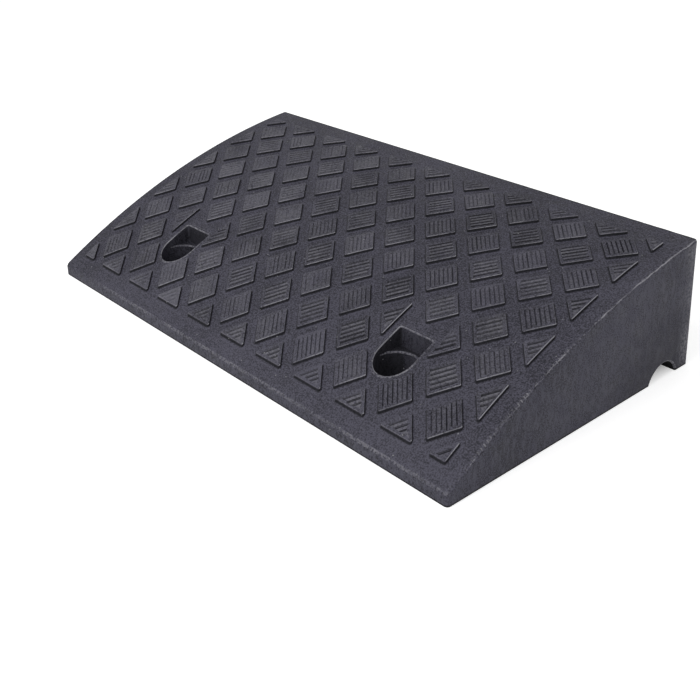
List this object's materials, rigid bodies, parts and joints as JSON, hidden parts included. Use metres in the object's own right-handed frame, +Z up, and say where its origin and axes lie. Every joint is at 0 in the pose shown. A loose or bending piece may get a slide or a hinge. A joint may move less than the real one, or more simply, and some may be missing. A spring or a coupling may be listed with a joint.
{
  "type": "kerb ramp",
  "caption": "Moulded rubber wedge with an arched, diamond-tread deck that lets wheels climb a kerb, with bolt wells and a drain channel in its base.",
  "frame": {"origin": "middle of the base, on the road", "axes": "+X along the kerb, +Y from the road to the kerb, +Z up"},
  "size_m": [0.5, 0.276, 0.1086],
  "materials": {
    "rubber": "matt moulded, mottled",
    "plated_steel": "dull zinc plate"
  },
  "bodies": {
    "root": {"ramp_body": "rubber", "left_seat_washer": "plated_steel", "right_seat_washer": "plated_steel", "left_bolt_sleeve": "plated_steel", "right_bolt_sleeve": "plated_steel"}
  },
  "joints": []
}
